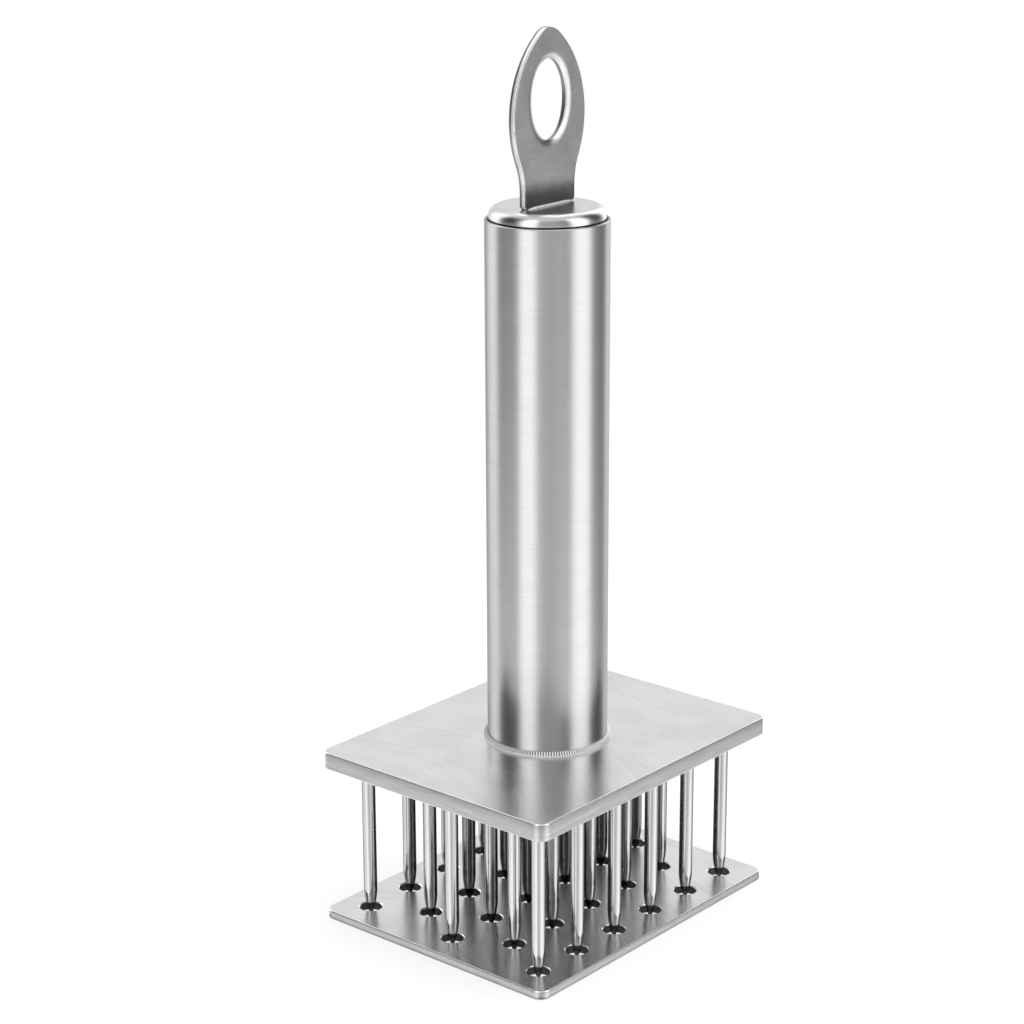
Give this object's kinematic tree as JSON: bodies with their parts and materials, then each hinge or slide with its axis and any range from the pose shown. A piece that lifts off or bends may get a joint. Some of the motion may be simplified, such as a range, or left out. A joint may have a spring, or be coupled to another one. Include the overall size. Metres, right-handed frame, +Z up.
{
  "type": "needle meat tenderizer",
  "caption": "Hand tool with a staggered bed of pointed steel needles under a tube handle with a hanging loop; a loose guide plate slides on the needles.",
  "frame": {"origin": "centre of the guide plate's underside, on the surface that the tool stands on", "axes": "+Z up along the handle, +X along the plates' long side, +Y along their short side"},
  "size_m": [0.08, 0.0636, 0.1964],
  "materials": {
    "guide_plate": "satin stainless sheet",
    "needle_plate": "satin stainless plate",
    "needles": "polished stainless wire",
    "handle_tube": "satin stainless tube, turned lines round it",
    "end_cap": "fine satin, brighter on the shoulder",
    "hanging_loop": "brushed stainless sheet",
    "weld_bead": "bright rippled bead"
  },
  "bodies": {
    "tool": {"needle_plate": "needle_plate", "needle_01": "needles", "needle_02": "needles", "needle_03": "needles", "needle_04": "needles", "needle_05": "needles", "needle_06": "needles", "needle_07": "needles", "needle_08": "needles", "needle_09": "needles", "needle_10": "needles", "needle_11": "needles", "needle_12": "needles", "needle_13": "needles", "needle_14": "needles", "needle_15": "needles", "needle_16": "needles", "needle_17": "needles", "needle_18": "needles", "needle_19": "needles", "needle_20": "needles", "needle_21": "needles", "needle_22": "needles", "needle_23": "needles", "needle_24": "needles", "needle_25": "needles", "needle_26": "needles", "needle_27": "needles", "needle_28": "needles", "needle_root_welds": "weld_bead", "handle_tube": "handle_tube", "handle_weld": "weld_bead", "end_cap": "end_cap", "hanging_loop": "hanging_loop", "loop_weld": "weld_bead"},
    "guide": {"guide_plate": "guide_plate"}
  },
  "joints": [
    {"name": "guide_slide", "type": "slide", "parent": "tool", "child": "guide", "axis": [0, 0, 1], "range_m": [-0.012, 0.0338]}
  ]
}
